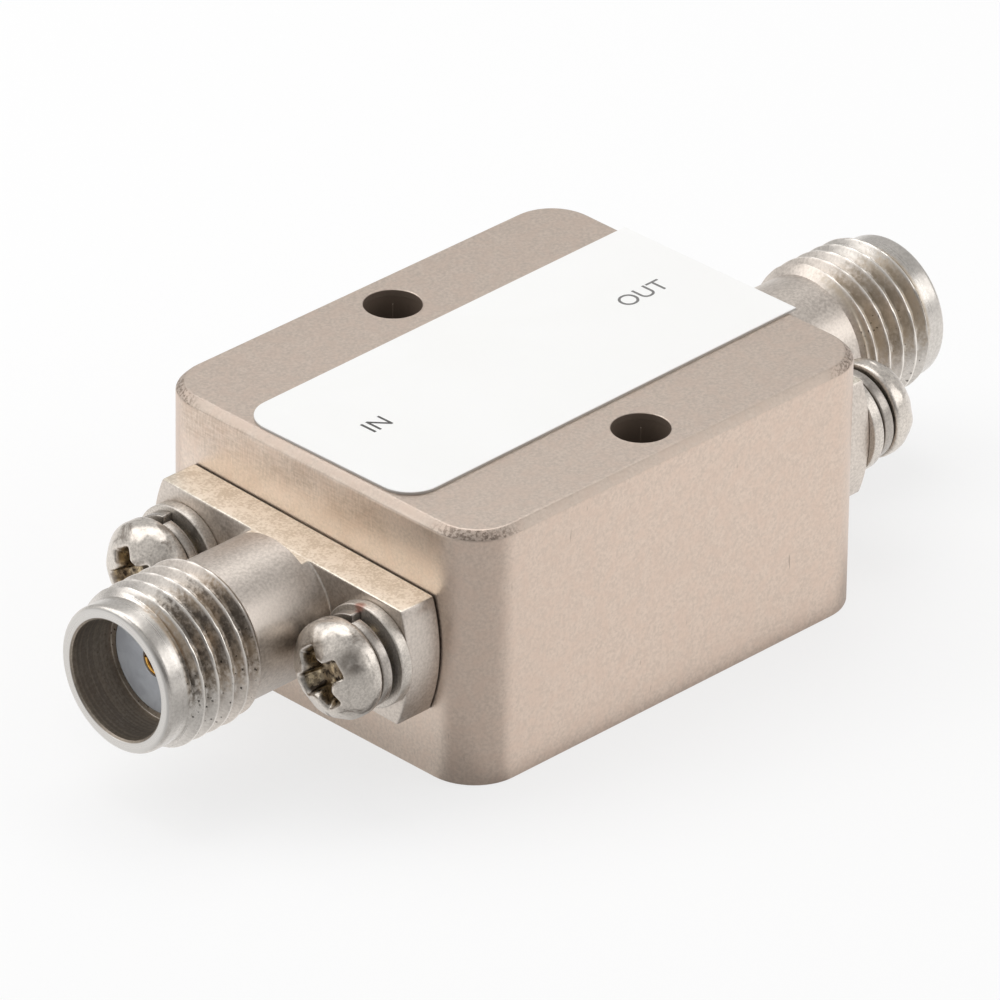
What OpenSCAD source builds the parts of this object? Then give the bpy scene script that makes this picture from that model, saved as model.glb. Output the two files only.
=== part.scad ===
// Coaxial fixed attenuator: a milled block with a flanged socket connector on each end.
// Millimetres. The origin is under the middle of the block, +X runs from IN to OUT, +Z is up.

/* [Housing] */
// Length of the block, end face to end face
body_l = 20.5; // [19.5:0.1:30]
// Width of the block
body_w = 16.6; // [16:0.1:24]
// Height of the block
body_h = 10.4; // [9.6:0.1:14]
// Radius of the upright corners
corner_r = 2; // [0.6:0.1:3]
// Bevel along the top edges
edge_bevel = 0.3; // [0.1:0.05:0.5]
// Bevel along the bottom edges
base_bevel = 0.05; // [0.03:0.01:0.3]
// Height of the connector axis above the base
axis_z = 5.3; // [4.6:0.1:6]

/* [Mounting holes] */
// Distance from a mounting hole's axis to the long side beside it
mount_edge = 1.95; // [1.6:0.05:2.1]
// Diameter of a mounting hole
mount_d = 2.2; // [1.6:0.1:2.8]
// Countersink depth at the mouths of a mounting hole
mount_bevel = 0.1; // [0.05:0.05:0.3]

/* [Channel and lid] */
// Thickness of the end wall between a connector and the channel
end_wall_t = 2.85; // [2.2:0.05:3.6]
// Width of the channel that holds the circuit
channel_w = 5; // [4:0.1:5.6]
// Radius left by the cutter in the channel's corners
channel_corner_r = 1; // [0.4:0.1:1.8]
// Width of the ledge that carries the lid, all round the channel
ledge_w = 1.1; // [0.6:0.1:1.5]
// Thickness of the lid
lid_t = 1; // [0.6:0.1:1.6]
// Gap round the edge of the lid
lid_gap = 0.03; // [0.01:0.01:0.1]

/* [Label] */
// Length of the label, ending over the OUT edge
label_l = 20.1; // [16:0.1:20.3]
// Width of the label
label_w = 8.64; // [7.6:0.02:10]
// Thickness of the label
label_t = 0.12; // [0.05:0.01:0.2]
// Radius of the label's two round corners
label_corner_r = 1.3; // [0.3:0.1:3]
// Angle at which the label was stuck on, in degrees
label_turn = 0.9; // [-2:0.1:2]

/* [Connector shells] */
// Length of a shell in front of the block
shell_l = 9.72; // [8.8:0.02:12]
// Diameter of the flange, before its flats
flange_d = 13.16; // [12.8:0.02:14.5]
// Height of the flange between its flats
flange_h = 4.75; // [4.4:0.05:7]
// Thickness of the flange
flange_t = 1.66; // [1.2:0.02:2.2]
// How far the flats run past the flange, onto the root of the barrel
flat_reach = 0.36; // [0.1:0.02:0.8]
// Angle of the IN flange, which sits turned in its screw clearance, in degrees
in_flange_turn = 1.7; // [-2:0.1:2]
// Diameter of the barrel behind the thread
barrel_d = 5.54; // [5.3:0.02:6]
// Radius of the fillet where the barrel meets the flange
barrel_fillet = 0.07; // [0.04:0.01:0.12]
// Major diameter of the thread
thread_d = 6.24; // [6.1:0.02:7]
// Length of the thread
thread_l = 2.9; // [2.2:0.05:3.4]
// Diameter of the plain nose
nose_d = 5.66; // [5.3:0.02:5.9]
// Length of the plain nose
nose_l = 0.95; // [0.4:0.05:1.2]
// Length of the taper between the nose and the thread
taper_l = 0.3; // [0.15:0.01:0.6]
// Diameter of the socket in the nose
socket_d = 4.6; // [4.4:0.02:5]
// Depth of the socket, nose to dielectric
socket_depth = 1.98; // [1.5:0.02:2.6]
// Bevel at the mouth of the socket
mouth_bevel = 0.08; // [0.04:0.01:0.15]

/* [Dielectric and contact] */
// Diameter of the dielectric in the shell
dielectric_d = 4.1; // [3.6:0.05:4.2]
// Diameter of the dielectric's tail through the end wall
tail_d = 2; // [1.4:0.05:2.6]
// Outside diameter of the socket contact
contact_d = 1.27; // [1.1:0.01:1.4]
// Diameter of the hole in the contact
contact_hole_d = 0.94; // [0.8:0.01:1]
// Depth of the hole in the contact
contact_hole_depth = 2.6; // [2:0.1:3.5]
// Width of the slots that let the contact spring
contact_slot_w = 0.12; // [0.08:0.01:0.16]
// Length of the slots in the contact
contact_slot_l = 2.2; // [1.6:0.1:2.4]
// Diameter of the pin at the back of the contact
pin_d = 0.5; // [0.4:0.02:0.6]
// Length of the pin that lies on the line board
pin_reach = 0.8; // [0.4:0.1:1.2]
// Thickness of dielectric behind the step in the contact
step_back = 1.2; // [0.8:0.1:2]
// Radial gap between shell, dielectric and contact
dielectric_gap = 0.02; // [0.01:0.01:0.05]

/* [Flange screws] */
// Distance between the two screws of a flange
screw_spacing = 9.7; // [9.2:0.1:9.9]
// Diameter of the screw thread
screw_d = 2; // [1.6:0.1:2.1]
// Length of a screw under its head
screw_l = 6; // [5:0.1:6.6]
// Diameter of the screw head
head_d = 3.8; // [3.2:0.1:4]
// Height of the screw head
head_h = 1.6; // [1.2:0.05:2]
// Height of the straight side of the head
head_side_h = 0.45; // [0.2:0.05:0.7]
// Width across the wings of the cross recess, level with the head's top
recess_w = 2.9; // [2:0.1:3.1]
// Width of one wing of the cross recess
recess_slot_w = 0.7; // [0.4:0.02:0.8]
// Depth of the cross recess
recess_depth = 1.05; // [0.7:0.05:1.1]
// Diameter of the screw's hole in the flange
flange_hole_d = 2.5; // [2.3:0.05:2.8]
// Depth of the tapped hole in the block
tap_depth = 4; // [3.4:0.1:5]
// Radial gap between a screw and its tapped hole
tap_gap = 0.02; // [0.01:0.01:0.05]

/* [Washers] */
// Outside diameter of a flat washer
flat_washer_d = 4; // [3.6:0.1:4.1]
// Thickness of a flat washer
flat_washer_t = 0.5; // [0.3:0.05:0.7]
// Outside diameter of a lock washer
lock_washer_d = 3.6; // [3.3:0.1:3.8]
// Thickness of the lock washer's wire
lock_washer_t = 0.45; // [0.3:0.05:0.6]
// Height of the lock washer from end to end
lock_washer_h = 0.83; // [0.7:0.01:1.1]
// Angle of the split in a lock washer, in degrees
lock_washer_split = 11; // [6:1:20]
// Radial gap between the washers and the screw
washer_gap = 0.1; // [0.05:0.01:0.15]

/* [Circuit] */
// Thickness of the line boards and the chip
board_t = 0.4; // [0.25:0.05:0.8]
// Width of the line boards and the chip
board_w = 3.6; // [2.4:0.1:3.8]
// Length of the attenuator chip
chip_l = 3; // [2:0.1:5]
// Gap between neighbouring boards and at the channel's ends
board_gap = 0.15; // [0.1:0.01:0.3]
// Thickness of the metal film on the boards and the chip
film_t = 0.03; // [0.02:0.01:0.06]
// Width of the line on the boards
line_w = 0.4; // [0.3:0.02:0.6]
// Length of the resistor film on the chip
resistor_l = 1; // [0.6:0.1:1.6]
// Width of the resistor film on the chip
resistor_w = 1.3; // [0.8:0.1:2]
// Length of a bond ribbon's foot
ribbon_foot_l = 0.35; // [0.2:0.05:0.5]
// Thickness of a bond ribbon
ribbon_t = 0.03; // [0.02:0.01:0.05]
// Height of the ribbon's arch over the gap
ribbon_arch_h = 0.1; // [0.05:0.01:0.2]

/* [Hidden] */
$fn = 64;
// Overlap that keeps a cut clear of the face it opens
over = 0.05;
// Distance between the two mounting holes, across the block
mount_spacing = body_w - 2 * mount_edge;
// Ends of the part, as the sign of X
in_end = -1;
out_end = 1;
// Channel, ledge and floor
channel_l = body_l - 2 * end_wall_t;
ledge_l = channel_l + 2 * ledge_w;
ledge_w_all = channel_w + 2 * ledge_w;
ledge_corner_r = channel_corner_r + ledge_w;
ledge_z = body_h - lid_t;
film_z = axis_z - pin_d / 2;
board_z = film_z - film_t;
floor_z = board_z - board_t;
// Boards along the channel
board_l = channel_l / 2 - chip_l / 2 - 2 * board_gap;
board_x = chip_l / 2 + board_gap + board_l / 2;
// Places along a connector's axis, measured from the block's end face
socket_s = shell_l - socket_depth;
thread_front_s = shell_l - nose_l - taper_l;
thread_rear_s = thread_front_s - thread_l;
washer_s = flange_t + flat_washer_t;
head_s = washer_s + lock_washer_h;
// Bore of the shell and of the washers
shell_bore_d = dielectric_d + 2 * dielectric_gap;
tail_bore_d = tail_d + 2 * dielectric_gap;
washer_hole_d = screw_d + 2 * washer_gap;
tap_d = screw_d + 2 * tap_gap;
// Steps in the arcs and in the lock washer's coil
arc_steps = 8;
coil_steps = 40;
// Turn of each screw's recess, +Y screw first, in degrees
in_recess_turns = [29, 39];
out_recess_turns = [20, 65];
// Colours
nickel = [0.74, 0.70, 0.65];
steel = [0.70, 0.69, 0.67];
gold = [0.85, 0.66, 0.30];
alumina = [0.93, 0.92, 0.88];
film_grey = [0.35, 0.33, 0.32];
label_white = [0.97, 0.97, 0.96];
insulator_white = [0.95, 0.96, 0.98];

// Rectangle with round corners, centred
module rounded(l, w, r) {
    square([l - 2 * r, w], center = true);
    square([l, w - 2 * r], center = true);
    for (x = [-1, 1], y = [-1, 1])
        translate([x * (l / 2 - r), y * (w / 2 - r)]) circle(r);
}

// Upright section of the block, l long, with its top and bottom corners bevelled
module bevelled(l) {
    x = l / 2;
    polygon([
        [base_bevel - x, 0], [x - base_bevel, 0], [x, base_bevel], [x, body_h - edge_bevel],
        [x - edge_bevel, body_h], [edge_bevel - x, body_h], [-x, body_h - edge_bevel], [-x, base_bevel]
    ]);
}

// Solid block with round upright corners and bevelled top and bottom edges
module block() {
    rotate([90, 0, 0])
        linear_extrude(body_w - 2 * corner_r, center = true) bevelled(body_l);
    rotate([90, 0, 90])
        linear_extrude(body_l - 2 * corner_r, center = true) bevelled(body_w);
    for (x = [-1, 1], y = [-1, 1])
        translate([x * (body_l / 2 - corner_r), y * (body_w / 2 - corner_r)])
            rotate_extrude()
                intersection() {
                    bevelled(2 * corner_r);
                    square([corner_r, body_h]);
                }
}

// Puts a shape on an end of the block: its +Z leaves the end face along the connector's axis
module at_end(end) {
    translate([end * body_l / 2, 0, axis_z]) rotate([0, end * 90, 0]) children();
}

// Puts a shape on both screw axes of an end
module at_screws(end) {
    at_end(end)
        for (y = [-1, 1])
            translate([0, y * screw_spacing / 2]) children();
}

module housing() {
    color(nickel)
        difference() {
            block();
            translate([0, 0, floor_z])
                linear_extrude(body_h) rounded(channel_l, channel_w, channel_corner_r);
            translate([0, 0, ledge_z])
                linear_extrude(body_h) rounded(ledge_l, ledge_w_all, ledge_corner_r);
            for (y = [-1, 1])
                translate([0, y * mount_spacing / 2]) mount_hole();
            for (end = [in_end, out_end]) {
                at_end(end)
                    translate([0, 0, -end_wall_t - over])
                        cylinder(end_wall_t + 2 * over, d = tail_bore_d);
                at_screws(end)
                    translate([0, 0, -tap_depth])
                        cylinder(tap_depth + over, d = tap_d);
            }
        }
}

// Through hole with a small bevel at both mouths
module mount_hole() {
    translate([0, 0, -over]) cylinder(body_h + 2 * over, d = mount_d);
    for (flip = [0, 1])
        translate([0, 0, flip * body_h])
            mirror([0, 0, flip])
                translate([0, 0, -over])
                    cylinder(mount_bevel + over, d1 = mount_d + 2 * (mount_bevel + over), d2 = mount_d);
}

module lid() {
    color(nickel)
        translate([0, 0, ledge_z])
            linear_extrude(lid_t)
                rounded(ledge_l - 2 * lid_gap, ledge_w_all - 2 * lid_gap, ledge_corner_r - lid_gap);
}

module label() {
    color(label_white)
        translate([body_l / 2 - label_l / 2, 0, body_h])
            rotate(label_turn)
                linear_extrude(label_t) {
                    rounded(label_l, label_w, label_corner_r);
                    translate([0, -label_w / 2]) square([label_l / 2, label_w]);
                }
}

// Half outline of the flange, barrel, thread and nose, from the block to the front.
// The thread is plain, at its major diameter.
function arc_point(i) = [
    barrel_d / 2 + barrel_fillet * (1 - sin(90 * i / arc_steps)),
    flange_t + barrel_fillet * (1 - cos(90 * i / arc_steps))
];
function shell_outline() = concat(
    [[0, 0], [flange_d / 2, 0], [flange_d / 2, flange_t]],
    [for (i = [0 : arc_steps]) arc_point(i)],
    [[barrel_d / 2, thread_rear_s - thread_d / 2 + barrel_d / 2], [thread_d / 2, thread_rear_s]],
    [[thread_d / 2, thread_front_s], [nose_d / 2, shell_l - nose_l], [nose_d / 2, shell_l], [0, shell_l]]
);

// Cutter for the two flats of a shell, which are milled across the flange and the barrel's root
module flats() {
    for (half_turn = [0, 180])
        rotate(half_turn)
            translate([flange_h / 2, -flange_d / 2 - over, -over])
                cube([flange_d / 2, flange_d + 2 * over, flange_t + flat_reach + over]);
}

// Shell of one connector: round flange with two flats, barrel, thread, nose and stepped bore
module connector_shell(turn) {
    color(steel)
        difference() {
            rotate_extrude() polygon(shell_outline());
            rotate(turn) flats();
            translate([0, 0, -over]) cylinder(shell_l, d = shell_bore_d);
            translate([0, 0, socket_s]) cylinder(socket_depth + over, d = socket_d);
            translate([0, 0, shell_l - mouth_bevel])
                cylinder(mouth_bevel + over, d1 = socket_d, d2 = socket_d + 2 * (mouth_bevel + over));
            rotate(turn)
                for (y = [-1, 1])
                    translate([0, y * screw_spacing / 2, -over])
                        cylinder(flange_t + 2 * over, d = flange_hole_d);
        }
}

module in_connector_shell() { at_end(in_end) connector_shell(-in_flange_turn); }
module out_connector_shell() { at_end(out_end) connector_shell(0); }

// Insulator of one connector, with a thinner tail through the end wall
module dielectric() {
    color(insulator_white)
        difference() {
            union() {
                cylinder(socket_s, d = dielectric_d);
                translate([0, 0, -end_wall_t]) cylinder(end_wall_t + over, d = tail_d);
            }
            translate([0, 0, step_back]) cylinder(socket_s, d = contact_d + 2 * dielectric_gap);
            translate([0, 0, -end_wall_t - over])
                cylinder(end_wall_t + step_back + 2 * over, d = pin_d + 2 * dielectric_gap);
        }
}

module in_dielectric() { at_end(in_end) dielectric(); }
module out_dielectric() { at_end(out_end) dielectric(); }

// Turned contact: a slotted socket in front and a pin that reaches the line board behind
module center_contact() {
    pin_back = end_wall_t + board_gap + pin_reach;
    color(gold)
        difference() {
            union() {
                translate([0, 0, step_back]) cylinder(socket_s - step_back, d = contact_d);
                translate([0, 0, -pin_back]) cylinder(pin_back + step_back + over, d = pin_d);
            }
            translate([0, 0, socket_s - contact_hole_depth])
                cylinder(contact_hole_depth + over, d = contact_hole_d);
            for (a = [0, 90])
                rotate(a)
                    translate([-contact_d, -contact_slot_w / 2, socket_s - contact_slot_l])
                        cube([2 * contact_d, contact_slot_w, contact_slot_l + over]);
        }
}

module in_center_contact() { at_end(in_end) center_contact(); }
module out_center_contact() { at_end(out_end) center_contact(); }

// Half outline of a pan head: a straight side and a dome that is a quarter of an ellipse
function head_outline() = concat(
    [[0, 0], [head_d / 2, 0]],
    [for (i = [0 : arc_steps]) [
        i == arc_steps ? 0 : head_d / 2 * cos(90 * i / arc_steps),
        head_side_h + (head_h - head_side_h) * sin(90 * i / arc_steps)
    ]]
);

// One wing pair of the cross recess, narrower at the bottom
module recess_wings() {
    rotate([90, 0, 0])
        linear_extrude(recess_slot_w, center = true)
            polygon([
                [-recess_slot_w, head_h - recess_depth], [recess_slot_w, head_h - recess_depth],
                [recess_w / 2, head_h], [recess_w / 2, head_h + over],
                [-recess_w / 2, head_h + over], [-recess_w / 2, head_h]
            ]);
}

// Pan-head screw with its head on the lock washer
module flange_screw(turn) {
    color(steel)
        translate([0, 0, head_s])
            difference() {
                union() {
                    rotate_extrude() polygon(head_outline());
                    translate([0, 0, -screw_l]) cylinder(screw_l + over, d = screw_d);
                }
                for (a = [0, 90])
                    rotate(turn + a) recess_wings();
            }
}

// Both screws of an end
module flange_screws(end, turns) {
    at_end(end)
        for (i = [0, 1])
            translate([0, (1 - 2 * i) * screw_spacing / 2]) flange_screw(turns[i]);
}

module in_flange_screws() { flange_screws(in_end, in_recess_turns); }
module out_flange_screws() { flange_screws(out_end, out_recess_turns); }

// Flat washer on the flange
module flat_washer() {
    color(steel)
        translate([0, 0, flange_t])
            difference() {
                cylinder(flat_washer_t, d = flat_washer_d);
                translate([0, 0, -over]) cylinder(flat_washer_t + 2 * over, d = washer_hole_d);
            }
}

module in_flat_washers() { at_screws(in_end) flat_washer(); }
module out_flat_washers() { at_screws(out_end) flat_washer(); }

// Corner k of the coil's section at step i, counted round from the inner lower corner
function coil_point(i, k) =
    let (
        share = i / coil_steps,
        a = lock_washer_split / 2 + share * (360 - lock_washer_split),
        r = k == 1 || k == 2 ? lock_washer_d / 2 : washer_hole_d / 2,
        z = share * (lock_washer_h - lock_washer_t) + (k > 1 ? lock_washer_t : 0)
    )
    [r * cos(a), r * sin(a), z];

// Split lock washer: one turn of a square coil that rises from the flat washer to the head
module lock_washer() {
    points = [for (i = [0 : coil_steps], k = [0 : 3]) coil_point(i, k)];
    walls = [
        for (i = [0 : coil_steps - 1], k = [0 : 3])
            let (a = 4 * i + k, b = 4 * i + (k + 1) % 4)
            each [[a, a + 4, b], [b, a + 4, b + 4]]
    ];
    last = 4 * coil_steps;
    color(steel)
        translate([0, 0, washer_s])
            polyhedron(points, concat([[0, 1, 2, 3], [last + 3, last + 2, last + 1, last]], walls));
}

module in_lock_washers() { at_screws(in_end) lock_washer(); }
module out_lock_washers() { at_screws(out_end) lock_washer(); }

// Ceramic board with one line of metal film along it
module line_board(end) {
    color(alumina) {
        translate([end * board_x - board_l / 2, -board_w / 2, floor_z]) cube([board_l, board_w, board_t]);
        translate([end * board_x - board_l / 2, -line_w / 2, board_z - film_t])
            cube([board_l, line_w, 2 * film_t]);
    }
}

module in_line_board() { line_board(in_end); }
module out_line_board() { line_board(out_end); }

// Ceramic chip: end pads and a wider resistor film between them
module attenuator_chip() {
    color(film_grey) {
        translate([-chip_l / 2, -board_w / 2, floor_z]) cube([chip_l, board_w, board_t]);
        translate([-chip_l / 2, -line_w / 2, board_z - film_t]) cube([chip_l, line_w, 2 * film_t]);
        translate([-resistor_l / 2, -resistor_w / 2, board_z - film_t])
            cube([resistor_l, resistor_w, 2 * film_t]);
    }
}

// Gold ribbon arched over the gap between a board and the chip
module bond_ribbon(end) {
    foot = board_gap / 2 + ribbon_foot_l;
    bend = board_gap / 2;
    color(gold)
        translate([end * (chip_l + board_gap) / 2, 0, film_z])
            rotate([90, 0, 0])
                linear_extrude(line_w, center = true)
                    polygon([
                        [-foot, 0], [-bend - ribbon_t, 0], [-bend, ribbon_arch_h], [bend, ribbon_arch_h],
                        [bend + ribbon_t, 0], [foot, 0], [foot, ribbon_t], [bend + 2 * ribbon_t, ribbon_t],
                        [bend + ribbon_t, ribbon_arch_h + ribbon_t],
                        [-bend - ribbon_t, ribbon_arch_h + ribbon_t],
                        [-bend - 2 * ribbon_t, ribbon_t], [-foot, ribbon_t]
                    ]);
}

module in_bond_ribbon() { bond_ribbon(in_end); }
module out_bond_ribbon() { bond_ribbon(out_end); }

housing();
lid();
label();
in_connector_shell();
out_connector_shell();
in_dielectric();
out_dielectric();
in_center_contact();
out_center_contact();
in_flange_screws();
out_flange_screws();
in_lock_washers();
out_lock_washers();
in_flat_washers();
out_flat_washers();
in_line_board();
attenuator_chip();
out_line_board();
in_bond_ribbon();
out_bond_ribbon();
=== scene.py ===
import math
import bpy
from mathutils import Matrix, Vector, noise


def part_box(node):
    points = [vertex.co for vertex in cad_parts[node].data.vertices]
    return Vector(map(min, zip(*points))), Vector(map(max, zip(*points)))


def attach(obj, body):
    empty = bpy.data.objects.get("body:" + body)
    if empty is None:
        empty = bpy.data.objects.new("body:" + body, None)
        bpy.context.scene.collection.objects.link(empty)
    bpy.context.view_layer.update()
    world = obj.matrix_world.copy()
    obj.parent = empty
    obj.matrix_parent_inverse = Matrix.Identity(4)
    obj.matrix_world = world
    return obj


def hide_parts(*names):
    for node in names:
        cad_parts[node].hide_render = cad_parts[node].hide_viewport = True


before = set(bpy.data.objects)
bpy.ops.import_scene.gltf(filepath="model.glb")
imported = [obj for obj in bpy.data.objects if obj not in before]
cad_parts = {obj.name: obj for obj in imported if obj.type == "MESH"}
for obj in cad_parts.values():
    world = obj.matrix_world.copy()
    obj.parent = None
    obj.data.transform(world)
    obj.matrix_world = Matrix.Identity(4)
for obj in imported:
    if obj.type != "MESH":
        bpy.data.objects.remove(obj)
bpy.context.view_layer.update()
mm = 0.001
hair = 0.02  # width, in millimetres, over which one finish gives way to another
axisGap = 0.01  # a turned profile stops this short of its axis, in millimetres
blockLow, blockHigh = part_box("housing")
insulatorLow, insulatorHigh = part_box("in_dielectric")
axisHeight = (insulatorLow.z + insulatorHigh.z) / 2  # height of both connector axes
endNames = {-1: "in", 1: "out"}  # sign of X at each end
print("frame loaded:", len(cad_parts), "nodes")


# selecting and finishing, used by every piece

def clearSelection():
    if bpy.context.mode != "OBJECT":
        bpy.ops.object.mode_set(mode="OBJECT")
    bpy.ops.object.select_all(action="DESELECT")


def nameActive(name):
    piece = bpy.context.active_object
    piece.name = name
    piece.data.name = name
    return piece


def workOn(piece):
    clearSelection()
    piece.select_set(True)
    bpy.context.view_layer.objects.active = piece


def openForEdit(piece, kind):
    # clears the mesh's own selection, so that only what is picked next is worked on
    workOn(piece)
    bpy.context.tool_settings.mesh_select_mode = [kind == name for name in ("VERT", "EDGE", "FACE")]
    bpy.ops.object.mode_set(mode="EDIT")
    bpy.ops.mesh.select_all(action="DESELECT")
    bpy.ops.object.mode_set(mode="OBJECT")


def pickFaces(piece, test):
    openForEdit(piece, "FACE")
    for face in piece.data.polygons:
        face.select = test(face.center, face.normal)
    bpy.ops.object.mode_set(mode="EDIT")


def pickEdges(piece, test):
    openForEdit(piece, "EDGE")
    points = piece.data.vertices
    for edge in piece.data.edges:
        edge.select = test(points[edge.vertices[0]].co, points[edge.vertices[1]].co)
    bpy.ops.object.mode_set(mode="EDIT")


def leaveEdit():
    bpy.ops.object.mode_set(mode="OBJECT")


def applyModifier(piece, kind, **settings):
    workOn(piece)
    modifier = piece.modifiers.new(kind.lower(), kind)
    for key, value in settings.items():
        setattr(modifier, key, value)
    bpy.ops.object.modifier_apply(modifier=modifier.name)


def cutWith(piece, cutter, operation="DIFFERENCE"):
    applyModifier(piece, "BOOLEAN", object=cutter, operation=operation, solver="EXACT")
    bpy.data.objects.remove(cutter)


def softenEdges(piece, width, segments=2, angle=30):
    limit = {"limit_method": "ANGLE", "angle_limit": math.radians(angle)}
    applyModifier(piece, "BEVEL", width=width * mm, segments=segments, **limit)


def smoothPiece(piece, angle):
    workOn(piece)
    bpy.ops.object.shade_smooth_by_angle(angle=math.radians(angle))
    applyModifier(piece, "WEIGHTED_NORMAL", keep_sharp=True, weight=80)


def bakePlace(piece, place):
    # puts the place into the mesh and leaves the object at the origin
    piece.data.transform(place @ piece.matrix_world)
    piece.matrix_world = Matrix.Identity(4)
    piece.data.update()


def copyPiece(piece, name):
    workOn(piece)
    bpy.ops.object.duplicate()
    return nameActive(name)


def startBox(name, size, middle):
    # a box of a size and place in millimetres, to be shaped further
    clearSelection()
    bpy.ops.mesh.primitive_cube_add(size=1, location=(0, 0, 0))
    piece = nameActive(name)
    piece.scale = [v * mm for v in size]
    piece.location = [v * mm for v in middle]
    bpy.ops.object.transform_apply(location=True, rotation=True, scale=True)
    return piece


def seat(piece, finish, slotName, *nodes):
    piece.data.materials.clear()
    piece.data.materials.append(finish)
    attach(piece, "root")
    if nodes:
        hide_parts(*nodes)


def endPlace(end):
    # local +Z leaves the block's end face along the connector's axis
    endX = blockHigh.x if end > 0 else blockLow.x
    return Matrix.Translation((endX, 0, axisHeight)) @ Matrix.Rotation(math.radians(90 * end), 4, "Y")


def turnProfile(name, profile, segments):
    # a ring is extruded from point to point of a (radius, height) profile, in millimetres
    clearSelection()
    startRadius, startHeight = profile[0]
    bpy.ops.mesh.primitive_circle_add(vertices=segments, radius=startRadius * mm, location=(0, 0, 0))
    piece = nameActive(name)
    piece.data.transform(Matrix.Translation((0, 0, startHeight * mm)))
    bpy.context.tool_settings.mesh_select_mode = (False, True, False)
    bpy.ops.object.mode_set(mode="EDIT")
    bpy.ops.mesh.select_all(action="SELECT")
    for (radiusA, heightA), (radiusB, heightB) in zip(profile, profile[1:]):
        rise = (heightB - heightA) * mm
        bpy.ops.mesh.extrude_edges_move(TRANSFORM_OT_translate={"value": (0, 0, rise)})
        grow = radiusB / radiusA
        bpy.ops.transform.resize(value=(grow, grow, 1), center_override=(0, 0, heightB * mm))
    bpy.ops.mesh.select_all(action="DESELECT")
    bpy.ops.mesh.select_mode(type="EDGE")
    bpy.ops.mesh.select_non_manifold()
    bpy.ops.mesh.bridge_edge_loops()  # the last ring meets the first
    bpy.ops.mesh.select_all(action="SELECT")
    bpy.ops.mesh.normals_make_consistent(inside=False)
    leaveEdit()
    return piece


def arcPoints(centreR, centreZ, radius, fromDeg, toDeg, steps):
    # points on an arc in the profile's plane, angles from +radius towards +height
    span = [math.radians(fromDeg + (toDeg - fromDeg) * i / steps) for i in range(steps + 1)]
    return [(centreR + radius * math.cos(a), centreZ + radius * math.sin(a)) for a in span]


# building shaders: sockets in, sockets out

def feed(tree, socket, value):
    # links another socket, or sets a plain number, vector or colour
    if isinstance(value, bpy.types.NodeSocket):
        tree.links.new(value, socket)
    else:
        socket.default_value = value


def addNode(tree, kind, inputs=None, **settings):
    node = tree.nodes.new(kind)
    for key, value in settings.items():
        setattr(node, key, value)
    for key, value in (inputs or {}).items():
        feed(tree, node.inputs[key], value)
    return node


def addMath(tree, operation, first, second=0.0):
    return addNode(tree, "ShaderNodeMath", {0: first, 1: second}, operation=operation).outputs[0]


def addSum(tree, first, second):
    return addMath(tree, "ADD", first, second)


def addLess(tree, first, second):
    return addMath(tree, "SUBTRACT", first, second)


def addSize(tree, value):
    return addMath(tree, "ABSOLUTE", value)


def addFade(tree, value, low, high, lowOut=0.0, highOut=1.0):
    # smooth step between two values
    inputs = {"Value": value, "From Min": low, "From Max": high, "To Min": lowOut, "To Max": highOut}
    return addNode(tree, "ShaderNodeMapRange", inputs, interpolation_type="SMOOTHSTEP").outputs[0]


def addSpread(tree, field, lowOut=0.0, highOut=1.0):
    # most of a noise lies between these two values
    return addFade(tree, field, 0.3, 0.7, lowOut, highOut)


def addNoise(tree, place, scale, detail=2.0, rough=0.5, distortion=0.0):
    inputs = {"Vector": place, "Scale": scale, "Detail": detail, "Roughness": rough, "Distortion": distortion}
    return addNode(tree, "ShaderNodeTexNoise", inputs).outputs["Fac"]


def addStretch(tree, place, scale):
    return addNode(tree, "ShaderNodeMapping", {"Vector": place, "Scale": scale}).outputs[0]


def addAxes(tree, place):
    return addNode(tree, "ShaderNodeSeparateXYZ", {0: place}).outputs


def addProduct(tree, *values):
    result = values[0]
    for value in values[1:]:
        result = addMath(tree, "MULTIPLY", result, value)
    return result


def addReach(tree, first, second):
    # distance from an axis, out of the two distances across it
    square = addSum(tree, addProduct(tree, first, first), addProduct(tree, second, second))
    return addMath(tree, "SQRT", square)


def addSpot(tree, place, middle, size, most=1.0):
    # a soft round mark, with the radius where it ends and the one where it is full
    offset = addNode(tree, "ShaderNodeVectorMath", {0: place, 1: middle}, operation="DISTANCE")
    return addFade(tree, offset.outputs["Value"], *size, 0.0, most)


def addTint(tree, share, first, second, blend="MIX"):
    node = addNode(tree, "ShaderNodeMix", {0: share, 6: first, 7: second}, data_type="RGBA", blend_type=blend)
    return node.outputs[2]


def addBlend(tree, share, first, second):
    return addNode(tree, "ShaderNodeMix", {0: share, 2: first, 3: second}).outputs[0]


# effects that several finishes share

def newGroup(name, inputs, outputs):
    group = bpy.data.node_groups.new(name, "ShaderNodeTree")
    for key, value in inputs.items():
        kind = "NodeSocketVector" if value is None else "NodeSocketFloat"
        socket = group.interface.new_socket(key, in_out="INPUT", socket_type=kind)
        if value is not None:
            socket.default_value = value
    for key in outputs:
        group.interface.new_socket(key, in_out="OUTPUT", socket_type="NodeSocketFloat")
    return group, group.nodes.new("NodeGroupInput").outputs, group.nodes.new("NodeGroupOutput").inputs


def useGroup(tree, group, **inputs):
    node = tree.nodes.new("ShaderNodeGroup")
    node.node_tree = group
    for key, value in inputs.items():
        feed(tree, node.inputs[key], value)
    return node.outputs


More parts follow.
